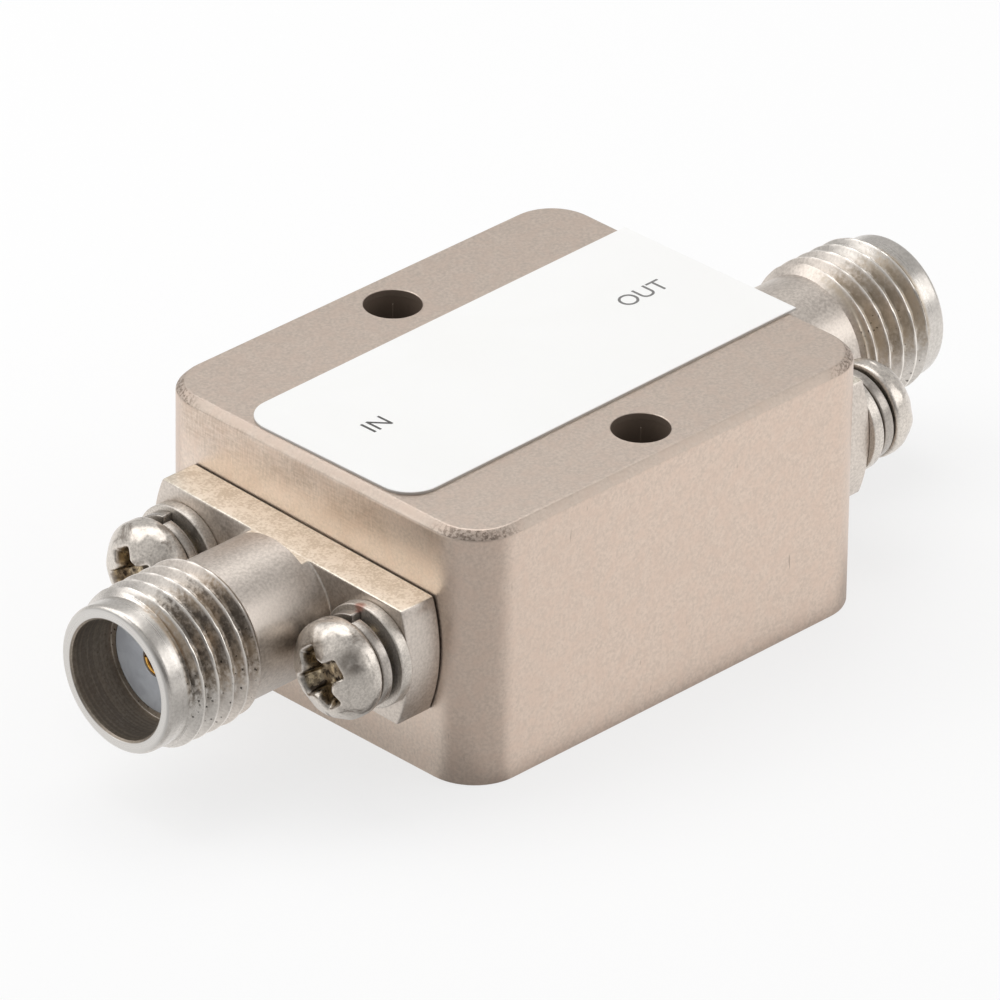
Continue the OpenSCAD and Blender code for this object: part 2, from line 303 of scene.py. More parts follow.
def makeGrainGroup():
    # fine metal grain, a middle mottling and slow clouds
    group, given, result = newGroup("metalGrain", {"Place": None, "Scale": 10.0}, ("Fine", "Mottle", "Cloud"))
    feed(group, result["Fine"], addNoise(group, given["Place"], given["Scale"], 3.0, 0.6))
    middle = addProduct(group, given["Scale"], 0.18)
    feed(group, result["Mottle"], addNoise(group, given["Place"], middle, 4.0, 0.55, 0.4))
    slow = addProduct(group, given["Scale"], 0.03)
    feed(group, result["Cloud"], addNoise(group, given["Place"], slow, 3.0, 0.5, 0.6))
    return group


def makeSpeckGroup():
    # small dark pits and specks, in a share of the cells
    inputs = {"Place": None, "Scale": 2.0, "Share": 0.2, "Size": 0.2}
    group, given, result = newGroup("darkSpecks", inputs, ("Mask",))
    finer = addProduct(group, given["Scale"], 4.0)
    warp = addNode(group, "ShaderNodeTexNoise", {"Vector": given["Place"], "Scale": finer}).outputs["Color"]
    shift = addStretch(group, warp, (0.12, 0.12, 0.12))
    place = addNode(group, "ShaderNodeVectorMath", {0: given["Place"], 1: shift}, operation="ADD").outputs[0]
    cells = addNode(group, "ShaderNodeTexVoronoi", {"Vector": place, "Scale": given["Scale"]})
    chance = addNode(group, "ShaderNodeSeparateColor", {0: cells.outputs["Color"]}).outputs
    chosen = addMath(group, "LESS_THAN", chance[0], given["Share"])
    edge = addProduct(group, given["Size"], addFade(group, chance[1], 0.0, 1.0, 0.35, 1.0))
    spot = addFade(group, cells.outputs["Distance"], edge, addProduct(group, edge, 0.45))
    feed(group, result["Mask"], addProduct(group, spot, chosen))
    return group


def makeMarkGroup():
    # short nicks, long in the direction that the place is stretched in
    group, given, result = newGroup("shortNicks", {"Place": None, "Scale": 1.0, "Level": 0.73}, ("Mask",))
    field = addNoise(group, given["Place"], given["Scale"], 1.0, 0.4)
    feed(group, result["Mask"], addFade(group, field, given["Level"], addSum(group, given["Level"], 0.04)))
    return group


def makeTurnGroup():
    # rings left by a lathe, round an axis along X; the two sides share one axis distance
    inputs = {"Place": None, "AxisY": 0.0, "AxisZ": 5.3, "Scale": 8.0}
    group, given, result = newGroup("turnedRings", inputs, ("Radius", "Rings"))
    x, y, z = addAxes(group, given["Place"])
    across = addLess(group, addSize(group, y), given["AxisY"])
    radius = addReach(group, across, addLess(group, z, given["AxisZ"]))
    drift = addProduct(group, addNoise(group, given["Place"], 0.5), 0.06)
    track = addNode(group, "ShaderNodeCombineXYZ", {0: x, 1: radius, 2: drift}).outputs[0]
    feed(group, result["Radius"], radius)
    feed(group, result["Rings"], addNoise(group, track, given["Scale"], 3.0, 0.6))
    return group


grainGroup = makeGrainGroup()
speckGroup = makeSpeckGroup()
markGroup = makeMarkGroup()
turnGroup = makeTurnGroup()
print("shared effects:", len(bpy.data.node_groups))


def startFinish(name, **fixed):
    # a Principled shader with its plain values, and the place on the piece in millimetres
    material = bpy.data.materials.new(name)
    material.use_nodes = True
    tree = material.node_tree
    tree.nodes.clear()
    shader = addNode(tree, "ShaderNodeBsdfPrincipled", fixed)
    output = addNode(tree, "ShaderNodeOutputMaterial")
    tree.links.new(shader.outputs[0], output.inputs["Surface"])
    coordinates = addNode(tree, "ShaderNodeTexCoord").outputs["Object"]
    return material, tree, shader.inputs, addStretch(tree, coordinates, (1 / mm, 1 / mm, 1 / mm))


def addBump(tree, sockets, height, depth):
    bump = addNode(tree, "ShaderNodeBump", {"Height": height, "Strength": 1.0, "Distance": depth * mm})
    tree.links.new(bump.outputs[0], sockets["Normal"])


# camera, at the photograph's viewing angle (millimetres and degrees)

cameraView = {
    "azimuth": -45.377,
    "elevation": 29.839,
    "roll": 0.83,
    "lens": 427.26,
    "distance": 432.39,
    "slideRight": -0.505,
    "slideUp": -0.378,
    "clip": (10, 10000),
}


def makeCamera():
    azimuth, elevation, roll = (math.radians(cameraView[k]) for k in ("azimuth", "elevation", "roll"))
    back = Vector((
        math.sin(azimuth) * math.cos(elevation),
        -math.cos(azimuth) * math.cos(elevation),
        math.sin(elevation),
    ))
    level = Vector((math.cos(azimuth), math.sin(azimuth), 0))
    upright = back.cross(level)
    right = level * math.cos(roll) + upright * math.sin(roll)
    up = upright * math.cos(roll) - level * math.sin(roll)
    target = Vector((0, 0, (blockLow.z + blockHigh.z) / 2))
    target += right * cameraView["slideRight"] * mm + up * cameraView["slideUp"] * mm
    clearSelection()
    bpy.ops.object.camera_add()
    camera = bpy.context.active_object
    camera.name = "camera"
    camera.data.lens = cameraView["lens"]
    camera.data.clip_start, camera.data.clip_end = (v * mm for v in cameraView["clip"])
    turn = Matrix((right, up, back)).transposed().to_4x4()
    camera.matrix_world = Matrix.Translation(target + back * cameraView["distance"] * mm) @ turn
    bpy.context.scene.camera = camera


makeCamera()
bpy.context.scene.view_settings.view_transform = "Standard"
print("camera placed")


# milled block

block = {
    "cornerRadius": 2.0,
    "cornerSteps": 14,
    "edgeBevel": 0.3,
    "edgeSoft": 0.07,
    "holeSpacing": 12.7,
    "holeRadius": 1.1,
    "holeBevel": 0.03,
    "channel": (14.8, 5.0, 1.0, 4.62),  # length, width, corner radius, floor height
    "ledge": (17.0, 7.2, 2.1, 9.4),
    "tailRadius": 1.02,
    "tailDepth": 2.85,
    "tapRadius": 1.02,
    "tapDepth": 4.0,
    "screwSpacing": 9.7,
    "proud": 0.5,  # how far a cutter stands out of the face it opens
}


# satin nickel of the block and its lid

nickel = {
    "pale": (0.66, 0.562, 0.485, 1),
    "dull": (0.525, 0.443, 0.38, 1),
    "rosy": (0.62, 0.495, 0.415, 1),
    "rosyShare": 0.4,
    "sideTint": (1.0, 0.965, 0.945, 1),
    "endPaintedLight": (1.17, 1.21, 1.23, 1),
    "endDepth": (0.15, 0.01),  # how far under an end face its painted brightening begins and is full
    "endShade": (0.74, 0.7, 0.66, 1),
    "endShadeFrom": (7.9, 9.4),
    "mark": (0.2, 0.155, 0.125, 1),
    # painted shade inside the two holes
    "bore": (0.15, 0.112, 0.085, 1),
    "roughness": (0.36, 0.46),
    "bevelRoughness": 0.56,
    "bevelGrain": 6.0,  # how much coarser the bevel's grain stands out
    "grain": 8.0,
    "grainDepth": 0.0022,
    "uprightStrokes": (1.0, 13.0, 1.6),  # noise scales along X, Y and Z, per millimetre
    "levelStrokes": (1.0, 1.3, 11.0),
    "patchScale": 0.32,
    "cornerReach": (15.5, 17.2),
    "chipScale": 8.0,
    "nickStretch": (5.0, 5.0, 0.8),
    "scratchLean": (0.0, 0.7, 0.0),
    "scratchStretch": (0.35, 1.0, 7.0),
}


def makeNickel():
    material, tree, sockets, place = startFinish("nickelSatin")
    x, y, z = addAxes(tree, place)
    endX, top = blockHigh.x / mm, blockHigh.z / mm
    bevelLow = top - block["edgeBevel"]
    grain = useGroup(tree, grainGroup, Place=place, Scale=nickel["grain"])
    startDepth, fullDepth = nickel["endDepth"]
    endFace = addFade(tree, addSize(tree, x), endX - startDepth, endX - fullDepth)
    below = addFade(tree, z, bevelLow + hair, bevelLow - hair)
    bevel = addFade(tree, z, bevelLow - hair, bevelLow + hair)
    bevel = addProduct(tree, bevel, addFade(tree, z, top - 0.005, top - 0.03))
    colour = addTint(tree, addFade(tree, grain["Fine"], 0.28, 0.72), nickel["dull"], nickel["pale"])
    rosy = addFade(tree, grain["Mottle"], 0.4, 0.66, 0.0, nickel["rosyShare"])
    colour = addTint(tree, rosy, colour, nickel["rosy"])
    colour = addTint(tree, addSpread(tree, grain["Cloud"], 0.0, 0.06), colour, nickel["dull"])
    colour = addTint(tree, below, colour, nickel["sideTint"], "MULTIPLY")
    # painted light: the end faces are tinted brighter than the rest of the metal
    colour = addTint(tree, endFace, colour, nickel["endPaintedLight"], "MULTIPLY")
    # soft brown patches on the end faces, with fine crossing strokes
    upright = addNoise(tree, addStretch(tree, place, nickel["uprightStrokes"]), 1.0, 2.0, 0.6)
    level = addNoise(tree, addStretch(tree, place, nickel["levelStrokes"]), 1.0, 2.0, 0.6)
    strokes = addFade(tree, addSum(tree, upright, level), 0.75, 1.25, 0.35, 1.0)
    patch = addFade(tree, addNoise(tree, place, nickel["patchScale"], 2.0), 0.36, 0.62)
    patch = addProduct(tree, patch, addFade(tree, z, *nickel["endShadeFrom"], 0.1, 1.0))
    colour = addTint(tree, addProduct(tree, endFace, strokes, patch), colour, nickel["endShade"], "MULTIPLY")
    # the bevel is rough and dark in places, most of all round the corners
    reach = addSum(tree, addSize(tree, x), addSize(tree, y))
    worn = addFade(tree, reach, *nickel["cornerReach"], 0.1, 0.9)
    chips = addFade(tree, addNoise(tree, place, nickel["chipScale"], 3.0, 0.65), 0.38, 0.62)
    colour = addTint(tree, addProduct(tree, bevel, worn, chips), colour, nickel["mark"])
    # short upright nicks on the sides and a few pits
    nickPlace = addStretch(tree, place, nickel["nickStretch"])
    nicks = useGroup(tree, markGroup, Place=nickPlace, Scale=1.0, Level=0.79)["Mask"]
    pits = useGroup(tree, speckGroup, Place=place, Scale=0.8, Share=0.14, Size=0.05)["Mask"]
    marks = addMath(tree, "MAXIMUM", pits, addProduct(tree, nicks, below, 0.45))
    colour = addTint(tree, marks, colour, nickel["mark"])
    # the two holes are painted dark inside, as painted shade
    fromHole = addReach(tree, x, addLess(tree, addSize(tree, y), block["holeSpacing"] / 2))
    bore = addFade(tree, fromHole, block["holeRadius"] + hair, block["holeRadius"])
    bore = addProduct(tree, bore, addFade(tree, z, top, top - 0.06))
    tree.links.new(addTint(tree, bore, colour, nickel["bore"]), sockets["Base Color"])
    tree.links.new(addLess(tree, 1.0, bore), sockets["Metallic"])
    rough = addSpread(tree, grain["Fine"], *nickel["roughness"])
    tree.links.new(addBlend(tree, bevel, rough, nickel["bevelRoughness"]), sockets["Roughness"])
    # faint slanting scratches, and the blasted bevel's coarse grain
    leaning = {"Vector": place, "Rotation": nickel["scratchLean"]}
    leaning = addNode(tree, "ShaderNodeMapping", leaning).outputs[0]
    scratches = addNoise(tree, addStretch(tree, leaning, nickel["scratchStretch"]), 1.0, 2.0)
    height = addSum(tree, grain["Fine"], addProduct(tree, scratches, 0.7))
    coarse = addProduct(tree, bevel, grain["Fine"], nickel["bevelGrain"])
    addBump(tree, sockets, addSum(tree, height, coarse), nickel["grainDepth"])
    return material


nickelSatin = makeNickel()


def makeRoundedBox(name, length, width, low, high, radius, steps):
    piece = startBox(name, (length, width, high - low), (0, 0, (low + high) / 2))
    pickEdges(piece, lambda a, b: abs(a.z - b.z) > 0.1 * mm)
    bpy.ops.mesh.bevel(offset=radius * mm, segments=steps, affect="EDGES")
    leaveEdit()
    return piece


def makeDrill(name, radius, low, high, steps=64, flare=0.0):
    # straight cutter, with flared ends where a hole has bevelled mouths
    profile = [(axisGap, low), (radius + flare, low)]
    if flare:
        start = block["proud"]
        profile += [(radius + flare, low + start), (radius, low + start + flare)]
        profile += [(radius, high - start - flare), (radius + flare, high - start)]
    profile += [(radius + flare, high), (axisGap, high)]
    return turnProfile(name, profile, steps)


def sidePlace(end, side):
    # the axis of one flange screw
    return endPlace(end) @ Matrix.Translation((0, side * block["screwSpacing"] / 2 * mm, 0))


def makeHousing():
    high = blockHigh.z / mm
    length = (blockHigh.x - blockLow.x) / mm
    width = (blockHigh.y - blockLow.y) / mm
    corner, steps = block["cornerRadius"], block["cornerSteps"]
    piece = makeRoundedBox("housing_block", length, width, 0, high, corner, steps)
    pickEdges(piece, lambda a, b: min(a.z, b.z) > blockHigh.z - 1e-6)
    bpy.ops.mesh.bevel(offset=block["edgeBevel"] * mm, segments=1, affect="EDGES")
    leaveEdit()
    softenEdges(piece, block["edgeSoft"])
    proud = block["proud"]
    for side in (-1, 1):
        drill = makeDrill("drill", block["holeRadius"], -proud, high + proud, flare=block["holeBevel"])
        bakePlace(drill, Matrix.Translation((0, side * block["holeSpacing"] / 2 * mm, 0)))
        cutWith(piece, drill)
    for key in ("channel", "ledge"):
        longSide, shortSide, radius, floor = block[key]
        cutWith(piece, makeRoundedBox("cutter", longSide, shortSide, floor, high + proud, radius, 8))
    for end in endNames:
        drill = makeDrill("drill", block["tailRadius"], -block["tailDepth"] - proud, proud, 32)
        bakePlace(drill, endPlace(end))
        cutWith(piece, drill)
        for side in (-1, 1):
            drill = makeDrill("drill", block["tapRadius"], -block["tapDepth"], proud, 32)
            bakePlace(drill, sidePlace(end, side))
            cutWith(piece, drill)
    smoothPiece(piece, 25)
    seat(piece, nickelSatin, "housing_nickel", "housing")
    return piece


housing = makeHousing()
print("housing:", len(housing.data.polygons), "faces")


# label and its lettering

label = {
    "length": 20.1,
    "width": 8.64,
    "thickness": 0.12,
    "cornerRadius": 1.3,
    "cornerSteps": 12,
    "turn": 0.9,
    "softEdge": 0.02,
    "inkHeight": 0.004,
    "inkLift": 0.001,
    "fontShare": 1.37,  # font size over the height of its capitals
    "words": {  # middle of each word from the label's own middle, and its height
        "IN": (-7.03, 0.29, 0.8),
        "OUT": (6.82, 0.32, 0.8),
    },
}


# white film and its ink

film = {
    "white": (0.945, 0.942, 0.93, 1),
    "cream": (0.935, 0.93, 0.915, 1),
    "edge": (0.42, 0.39, 0.36, 1),
    "edgeDepth": (0.02, 0.05),  # under the film's top
    "roughness": (0.3, 0.36),
    "grainDepth": 0.0002,
    "ink": (0.05, 0.048, 0.045, 1),
    "fadedInk": (0.2, 0.195, 0.19, 1),
    "fadeAlong": (-6.0, 6.0),  # the print is paler at the OUT end
    "inkRoughness": (0.4, 0.55),
}


def makeFilm():
    material, tree, sockets, place = startFinish("labelGloss", **{"Coat Weight": 0.2, "Coat Roughness": 0.1})
    grain = useGroup(tree, grainGroup, Place=place, Scale=6.0)
    colour = addTint(tree, addSpread(tree, grain["Cloud"]), film["cream"], film["white"])
    top = blockHigh.z / mm + label["thickness"]
    startDepth, fullDepth = film["edgeDepth"]
    cutEdge = addFade(tree, addAxes(tree, place)[2], top - startDepth, top - fullDepth)
    tree.links.new(addTint(tree, cutEdge, colour, film["edge"]), sockets["Base Color"])
    tree.links.new(addSpread(tree, grain["Cloud"], *film["roughness"]), sockets["Roughness"])
    addBump(tree, sockets, grain["Fine"], film["grainDepth"])
    return material


def makeInk():
    material, tree, sockets, place = startFinish("labelInk")
    grain = useGroup(tree, grainGroup, Place=place, Scale=14.0)
    along = addAxes(tree, place)[0]
    fading = addFade(tree, along, *film["fadeAlong"], 0.0, 0.75)
    fading = addSum(tree, fading, addProduct(tree, grain["Fine"], 0.3))
    tree.links.new(addTint(tree, fading, film["ink"], film["fadedInk"]), sockets["Base Color"])
    tree.links.new(addSpread(tree, grain["Mottle"], *film["inkRoughness"]), sockets["Roughness"])
    return material


labelGloss = makeFilm()
labelInk = makeInk()


def labelPlace():
    middle = (blockHigh.x / mm - label["length"] / 2) * mm
    return Matrix.Translation((middle, 0, blockHigh.z)) @ Matrix.Rotation(math.radians(label["turn"]), 4, "Z")


def makeLabel():
    long, wide, thick = label["length"], label["width"], label["thickness"]
    piece = startBox("label_film", (long, wide, thick), (0, 0, thick / 2))
    pickEdges(piece, lambda a, b: abs(a.z - b.z) > 0.1 * thick * mm and a.x < 0)
    bpy.ops.mesh.bevel(offset=label["cornerRadius"] * mm, segments=label["cornerSteps"], affect="EDGES")
    leaveEdit()
    pickEdges(piece, lambda a, b: min(a.z, b.z) > 0.9 * thick * mm)
    bpy.ops.mesh.bevel(offset=label["softEdge"] * mm, segments=2, affect="EDGES")
    leaveEdit()
    bakePlace(piece, labelPlace())
    smoothPiece(piece, 40)
    seat(piece, labelGloss, "label_white", "label")
    return piece


def makeWord(word):
    middleX, middleY, height = label["words"][word]
    clearSelection()
    bpy.ops.object.text_add(location=(0, 0, 0))
    ink = bpy.context.active_object
    ink.data.body = word
    ink.data.align_x = "CENTER"
    ink.data.align_y = "CENTER"
    ink.data.size = height * label["fontShare"] * mm
    ink.data.extrude = label["inkHeight"] / 2 * mm
    bpy.ops.object.convert(target="MESH")
    ink = nameActive("label_word_" + word.lower())
    lift = label["thickness"] + label["inkLift"] + label["inkHeight"] / 2
    bakePlace(ink, labelPlace() @ Matrix.Translation((middleX * mm, middleY * mm, lift * mm)))
    seat(ink, labelInk, "label_white")
    return ink


labelFilm = makeLabel()
labelWords = [makeWord(word) for word in label["words"]]
print("label:", len(labelFilm.data.polygons), "faces,", len(labelWords), "words")


# connector shells with a cut thread

shell = {
    "segments": 144,
    "length": 9.72,
    "boreRadius": 2.07,
    "socketRadius": 2.3,
    "socketDepth": 1.98,
    "mouthBevel": 0.08,
    "barrelRadius": 2.77,
    "barrelFillet": 0.07,
    "noseRadius": 2.83,
    "noseLength": 0.95,
    "noseSoft": 0.22,
    "taperLength": 0.3,
    "threadRadius": 3.12,
    "threadLength": 2.9,
    "threadPitch": 0.7056,
    "threadDepth": 0.37,
    "crestShare": 0.08,
    "rootShare": 0.22,
    "threadRow": 0.034,
    "runOut": 0.35,  # slope behind the thread, down to the barrel
    "frontFade": 0.4,  # share of the taper over which the thread ends
    "threadPhase": {-1: 0.0, 1: -0.36},  # turns, by end
    "flangeRadius": 6.58,
    "flangeHeight": 4.75,
    "flangeThickness": 1.66,
    "flangeHole": 1.25,
    "flangeSoft": 0.08,
    "flatReach": 0.36,  # how far the flats run past the flange, onto the barrel's root
    "flatStep": 0.01,  # the root's flats lie this much under the flange's
    "flangeTurn": {-1: 1.7, 1: 0.0},  # degrees, in the screws' clearance
}


# passivated steel of the shells, stained in the thread; lengths run from the block's end face

steel = {
    "clean": (0.69, 0.625, 0.565, 1),
    "dull": (0.51, 0.455, 0.405, 1),
    "nose": (0.615, 0.58, 0.54, 1),
    "noseDull": (0.5, 0.47, 0.435, 1),
    "noseFrom": (5.2, 8.4),
    "rim": (0.55, 0.53, 0.505, 1),
    "rimDepth": 0.03,
    "cream": (0.84, 0.785, 0.695, 1),
    "creamDull": (0.65, 0.585, 0.49, 1),
    "tan": (0.52, 0.44, 0.345, 1),
    "brown": (0.43, 0.335, 0.24, 1),
    "soot": (0.07, 0.059, 0.05, 1),
    "speck": (0.02, 0.016, 0.013, 1),
    # painted contact shadow where the flange meets the block
    "seamShadow": (0.07, 0.052, 0.04, 1),
    # painted highlight on the thread's crests
    "crestHighlight": (0.8, 0.755, 0.7, 1),
    # painted shade of the socket's wall
    "socket": (0.235, 0.196, 0.16, 1),
    "bodyRoughness": (0.36, 0.46),
    "noseRoughness": (0.25, 0.35),
    "stainRoughness": 0.5,
    "rings": 9.0,
    "grain": 9.0,
    "grainDepth": 0.002,
    "seamShadowWidth": 0.1,
    "flatInside": 0.015,  # the cream of the flats starts this much under them
    "threadFrom": (5.2, 5.45),
    "threadTo": (8.92, 8.78),
    "grooveDepth": (0.02, 0.09),  # under the thread's crests
    "crestDepth": (0.03, 0.008),
    "stainSide": (-0.774, 0.633),  # direction in Y and Z that the stain faces
    "stainEdge": (0.66, 0.95),
    "smokeStretch": (1.4, 0.6, 0.6),
    "spotStretch": (8.0, 5.0, 5.0),
    "speckHeight": (2.6, 1.6),  # from the axis; most specks lie lower
}


def addFlatMask(tree, y, upward, along, outEnd):
    # the flats of the flange and of the barrel's root; those at the IN end lean with its flange
    inLean = math.sin(math.radians(shell["flangeTurn"][-1]))
    lean = addProduct(tree, y, addBlend(tree, outEnd, inLean, 0.0))
    rise = addSize(tree, addLess(tree, upward, lean))
    height = shell["flangeHeight"] / 2 - shell["flatStep"] - steel["flatInside"]
    end = shell["flangeThickness"] + shell["flatReach"]
    return addProduct(tree, addFade(tree, rise, height - 0.01, height), addFade(tree, along, end, end - hair))


def makeSteel():
    material, tree, sockets, place = startFinish("steelTurned", Metallic=1.0)
    x, y, z = addAxes(tree, place)
    turned = useGroup(tree, turnGroup, Place=place, AxisZ=axisHeight / mm, Scale=steel["rings"])
    grain = useGroup(tree, grainGroup, Place=place, Scale=steel["grain"])
    radius = turned["Radius"]
    along = addLess(tree, addSize(tree, x), blockHigh.x / mm)
    upward = addLess(tree, z, axisHeight / mm)
    outEnd = addFade(tree, x, -1.0, 1.0)
    onNose = addFade(tree, along, *steel["noseFrom"])
    # warm satin body, more neutral towards the nose, and cream flats
    colour = addTint(tree, addFade(tree, grain["Fine"], 0.28, 0.72), steel["dull"], steel["clean"])
    noseColour = addTint(tree, addSpread(tree, grain["Fine"]), steel["noseDull"], steel["nose"])
    colour = addTint(tree, onNose, colour, noseColour)
    rimFrom = shell["length"] - steel["rimDepth"]
    colour = addTint(tree, addFade(tree, along, rimFrom - hair, rimFrom), colour, steel["rim"])
    creamGrain = addSum(tree, addProduct(tree, grain["Fine"], 0.6), addProduct(tree, grain["Mottle"], 0.4))
    cream = addTint(tree, addFade(tree, creamGrain, 0.4, 0.58), steel["creamDull"], steel["cream"])
    colour = addTint(tree, addFlatMask(tree, y, upward, along, outEnd), colour, cream)
    # stains sit in the grooves on the side that faces up and out: smoke, brown film and fine spots
    onThread = addFade(tree, along, *steel["threadFrom"])
    onThread = addProduct(tree, onThread, addFade(tree, along, *steel["threadTo"]))
    under = addLess(tree, shell["threadRadius"], radius)
    groove = addFade(tree, under, *steel["grooveDepth"])
    sideY, sideZ = steel["stainSide"]
    towards = addSum(tree, addProduct(tree, y, sideY), addProduct(tree, upward, sideZ))
    towards = addMath(tree, "DIVIDE", towards, radius)
    smoke = addNoise(tree, addStretch(tree, place, steel["smokeStretch"]), 1.0, 2.0, 0.5)
    spots = addNoise(tree, addStretch(tree, place, steel["spotStretch"]), 1.0, 3.0, 0.6)
    wander = addSum(tree, towards, addSpread(tree, spots, -0.1, 0.1))
    band = addProduct(tree, onThread, addFade(tree, wander, *steel["stainEdge"]))
    dirt = addProduct(tree, band, groove, addFade(tree, spots, 0.3, 0.6, 0.6, 0.85))
    stain = addTint(tree, outEnd, steel["brown"], steel["tan"])
    thick = addSum(tree, addProduct(tree, smoke, 0.72), addProduct(tree, spots, 0.28))
    sooty = addProduct(tree, addFade(tree, thick, 0.44, 0.62), addBlend(tree, outEnd, 0.9, 0.35))
    colour = addTint(tree, dirt, colour, addTint(tree, sooty, stain, steel["soot"]))
    specks = useGroup(tree, speckGroup, Place=place, Scale=4.6, Share=0.6, Size=0.3)["Mask"]
    lower = addFade(tree, upward, *steel["speckHeight"], 0.2, 0.9)
    colour = addTint(tree, addProduct(tree, specks, onThread, lower), colour, steel["speck"])
    # painted highlight: the thread's crests are coloured brighter
    crestHighlight = addFade(tree, under, *steel["crestDepth"], 0.0, 0.8)
    colour = addTint(tree, addProduct(tree, crestHighlight, onThread), colour, steel["crestHighlight"])
    # the seam behind the flange is painted dark, as its contact shadow, and the socket's wall is dull, ringed
    # with lighter turned streaks and painted dark as the shade inside it
    seamShadow = addFade(tree, along, steel["seamShadowWidth"], steel["seamShadowWidth"] - 0.04)
    colour = addTint(tree, seamShadow, colour, steel["seamShadow"])
    mouth, floor = shell["socketRadius"] + shell["mouthBevel"], shell["length"] - shell["socketDepth"]
    wall = addFade(tree, radius, mouth, mouth - hair)
    wall = addProduct(tree, wall, addFade(tree, along, floor + hair, floor + 2 * hair))
    bands = addFade(tree, turned["Rings"], 0.35, 0.65, 0.86, 0.96)
    streaks = addSum(tree, turned["Rings"], addProduct(tree, grain["Fine"], 0.5))
    wallShadeColour = addTint(tree, addFade(tree, streaks, 0.6, 0.92, 0.0, 0.6), steel["socket"], steel["tan"])
    colour = addTint(tree, addProduct(tree, wall, bands), colour, wallShadeColour)
    tree.links.new(colour, sockets["Base Color"])
    bodyRough = addSpread(tree, grain["Fine"], *steel["bodyRoughness"])
    noseRough = addSpread(tree, turned["Rings"], *steel["noseRoughness"])
    rough = addBlend(tree, onNose, bodyRough, noseRough)
    rough = addBlend(tree, addMath(tree, "MAXIMUM", dirt, wall), rough, steel["stainRoughness"])
    tree.links.new(rough, sockets["Roughness"])
    addBump(tree, sockets, addBlend(tree, onNose, grain["Fine"], turned["Rings"]), steel["grainDepth"])
    return material


steelTurned = makeSteel()


def threadSpan():
    front = shell["length"] - shell["noseLength"] - shell["taperLength"]
    return front - shell["threadLength"], front


def blankRadius(s):
    # the turned blank, before its thread is cut
    rear, front = threadSpan()
    barrel, thread, nose = (shell[k] for k in ("barrelRadius", "threadRadius", "noseRadius"))
    if s < rear:
        return max(barrel, thread - (thread - barrel) * (rear - s) / shell["runOut"])
    if s > front:
        return max(nose, thread - (thread - nose) * (s - front) / shell["taperLength"])
    return thread


def threadedRadius(s, angle, phase):
    # a right-hand thread, which fades out on the slopes at both ends
    turns = s / shell["threadPitch"] - angle / math.tau + phase
    fromRoot = abs(turns % 1 - 0.5) * 2
    span = 1 - shell["crestShare"] - shell["rootShare"]
    height = min(1.0, max(0.0, (fromRoot - shell["rootShare"]) / span))
    rear, front = threadSpan()
    fadeRear = (s - rear + shell["runOut"]) / shell["runOut"]
    fadeFront = (front + shell["taperLength"] - s) / (shell["frontFade"] * shell["taperLength"])
    fade = min(1.0, max(0.0, min(fadeRear, fadeFront)))
    cut = shell["threadDepth"] * (1 - height) * fade
    return min(blankRadius(s), shell["threadRadius"] - cut)


def threadRows():
    # heights of the rings that carry the thread and the slopes at its ends
    rear, front = threadSpan()
    row = shell["threadRow"]
    start, stop = rear - shell["runOut"] - row, front + shell["taperLength"] + row
    count = int(round((stop - start) / row))
    return [start + (stop - start) * i / count for i in range(count + 1)]


def shellProfile():
    length = shell["length"]
    bore, socket, nose = shell["boreRadius"], shell["socketRadius"], shell["noseRadius"]
    bevel, soft = shell["mouthBevel"], shell["noseSoft"]
    thick, fillet = shell["flangeThickness"], shell["barrelFillet"]
    barrel, depth = shell["barrelRadius"], shell["socketDepth"]
    rows = threadRows()
    profile = [(bore, 0), (barrel + fillet, 0), (barrel + fillet, thick)]
    profile += arcPoints(barrel + fillet, thick + fillet, fillet, 270, 180, 5)[1:]
    rise = rows[0] - thick - fillet
    profile += [(barrel, thick + fillet + rise * i / 6) for i in range(1, 6)]
    profile += [(blankRadius(s), s) for s in rows]
    profile += [(nose, rows[-1] + (length - soft - rows[-1]) * i / 4) for i in range(1, 4)]
    profile += arcPoints(nose - soft, length - soft, soft, 0, 90, 8)
    profile += [(socket + bevel, length), (socket, length - bevel)]
    profile += [(socket, length - bevel - (depth - bevel) * i / 6) for i in range(1, 7)]
    profile += [(bore, length - depth)]
    return profile


def makeFlange(turn):
    thick = shell["flangeThickness"] * mm
    clearSelection()
    bpy.ops.mesh.primitive_cylinder_add(
        vertices=128, radius=shell["flangeRadius"] * mm, depth=thick, location=(0, 0, thick / 2)
    )
    piece = nameActive("flange")
    bpy.ops.object.transform_apply(location=True, rotation=True, scale=True)
    half = shell["flangeHeight"] / 2 * mm
    for side in (-1, 1):  # the two flats
        bpy.ops.object.mode_set(mode="EDIT")
        bpy.ops.mesh.select_all(action="SELECT")
        bpy.ops.mesh.bisect(
            plane_co=(side * half, 0, 0), plane_no=(side, 0, 0), use_fill=True, clear_outer=True
        )
        leaveEdit()
    softenEdges(piece, shell["flangeSoft"])
    low, high = -block["proud"], shell["flangeThickness"] + block["proud"]
    middleRadius = (shell["boreRadius"] + shell["flangeHeight"] / 2) / 2  # hidden in the shell's own metal
    cutWith(piece, makeDrill("drill", middleRadius, low, high, 96))
    for side in (-1, 1):
        hole = makeDrill("drill", shell["flangeHole"], low, high, 48)
        bakePlace(hole, Matrix.Translation((0, side * block["screwSpacing"] / 2 * mm, 0)))
        cutWith(piece, hole)
    bakePlace(piece, Matrix.Rotation(math.radians(turn), 4, "Z"))
    return piece


def millRoot(piece, turn):
    # the two flats run on from the flange over the root of the barrel
    long = shell["flangeThickness"] + shell["flatReach"]
    half = shell["flangeHeight"] / 2 - shell["flatStep"]
    for side in (-1, 1):
        mill = startBox("mill", (2, 4 * shell["barrelRadius"], 2 * long), (side * (half + 1), 0, 0))
        bakePlace(mill, Matrix.Rotation(math.radians(turn), 4, "Z"))
        cutWith(piece, mill)


